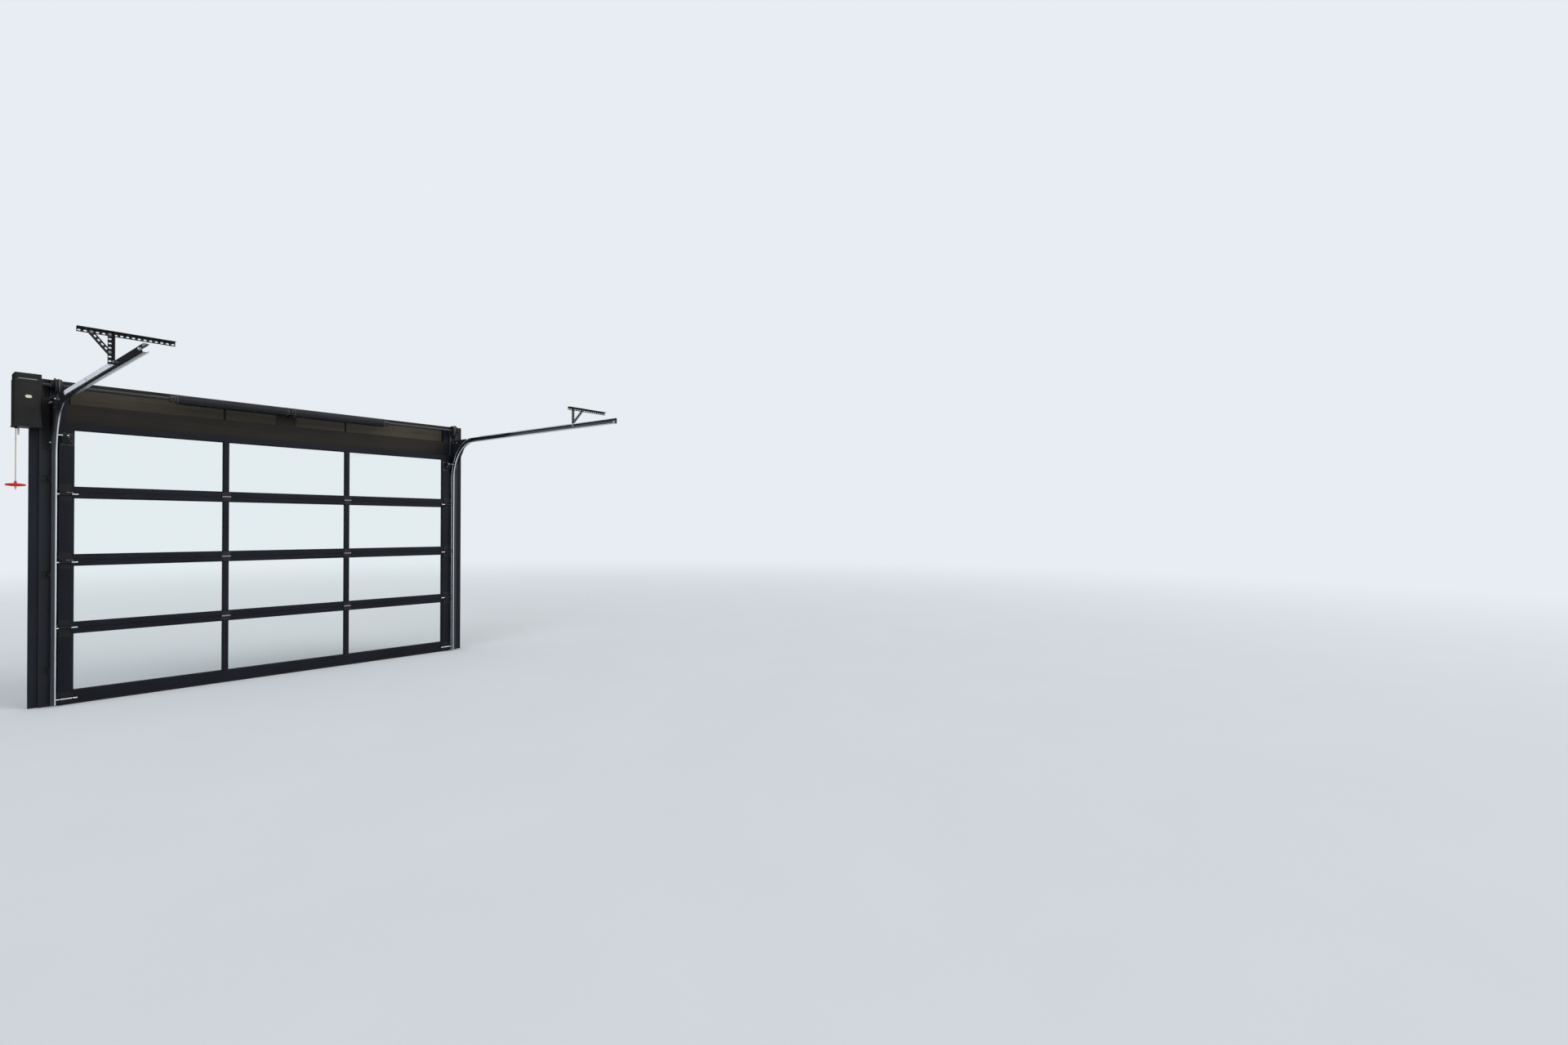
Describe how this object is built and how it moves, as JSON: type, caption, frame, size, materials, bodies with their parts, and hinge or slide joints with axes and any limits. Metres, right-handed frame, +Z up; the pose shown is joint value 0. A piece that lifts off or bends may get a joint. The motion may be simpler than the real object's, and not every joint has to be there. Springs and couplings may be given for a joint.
{
  "type": "sectional overhead door",
  "caption": "Glazed overhead door in hinged sections, shut, with side tracks on slotted hangers, torsion springs, cable drums and a side opener.",
  "frame": {"origin": "centre of the head board's back face, on the wall over the doorway", "axes": "+X to the right seen from inside, +Y outdoors through the wall, +Z up; the room is on the -Y side"},
  "size_m": [3.7592, 2.8615, 2.5],
  "materials": {
    "boards": "dark stain, slight sheen",
    "cladding": "grey-brown stain, matt",
    "frame": "black anodised, satin",
    "glazing": "clear",
    "rubber": "matt black",
    "black_steel": "black powder coat",
    "track_steel": "black paint, lips rubbed bright",
    "zinc": "bright zinc",
    "galvanised": "smooth galvanised strip",
    "nylon": "black nylon",
    "spring_steel": "black coated wire",
    "cone_casting": "dark casting",
    "drum_casting": "painted casting, dull",
    "cable": "stranded, galvanised",
    "housing": "black moulded, fine grain",
    "rope": "braided tan cord",
    "red_plastic": "moulded red"
  },
  "bodies": {
    "root": {"left_jamb_board": "boards", "right_jamb_board": "boards", "track_boards": "boards", "head_board": "boards", "header_panels": "cladding", "upper_head_board": "boards", "spring_pad": "boards", "perimeter_seal": "rubber", "bottom_seal": "rubber", "bottom_section_rails": "frame", "bottom_section_stiles": "frame", "bottom_section_glass": "glazing", "second_section_rails": "frame", "second_section_stiles": "frame", "second_section_glass": "glazing", "third_section_rails": "frame", "third_section_stiles": "frame", "third_section_glass": "glazing", "top_section_rails": "frame", "top_section_stiles": "frame", "top_section_glass": "glazing", "centre_hinges": "black_steel", "end_hinges": "black_steel", "roller_stems": "zinc", "roller_wheels": "nylon", "bottom_brackets": "black_steel", "top_brackets": "black_steel", "left_vertical_track": "track_steel", "right_vertical_track": "track_steel", "left_horizontal_track": "track_steel", "right_horizontal_track": "track_steel", "jamb_brackets": "black_steel", "corner_plates": "black_steel", "track_angles": "galvanised", "ceiling_angles": "black_steel", "hanger_legs": "black_steel", "hanger_braces": "black_steel", "torsion_shaft": "black_steel", "left_spring": "spring_steel", "right_spring": "spring_steel", "spring_cones": "cone_casting", "cable_drums": "drum_casting", "lift_cables": "cable", "bearing_plates": "black_steel", "opener_housing": "housing", "opener_bracket": "black_steel", "release_cord": "rope", "release_handle": "red_plastic"}
  },
  "joints": []
}
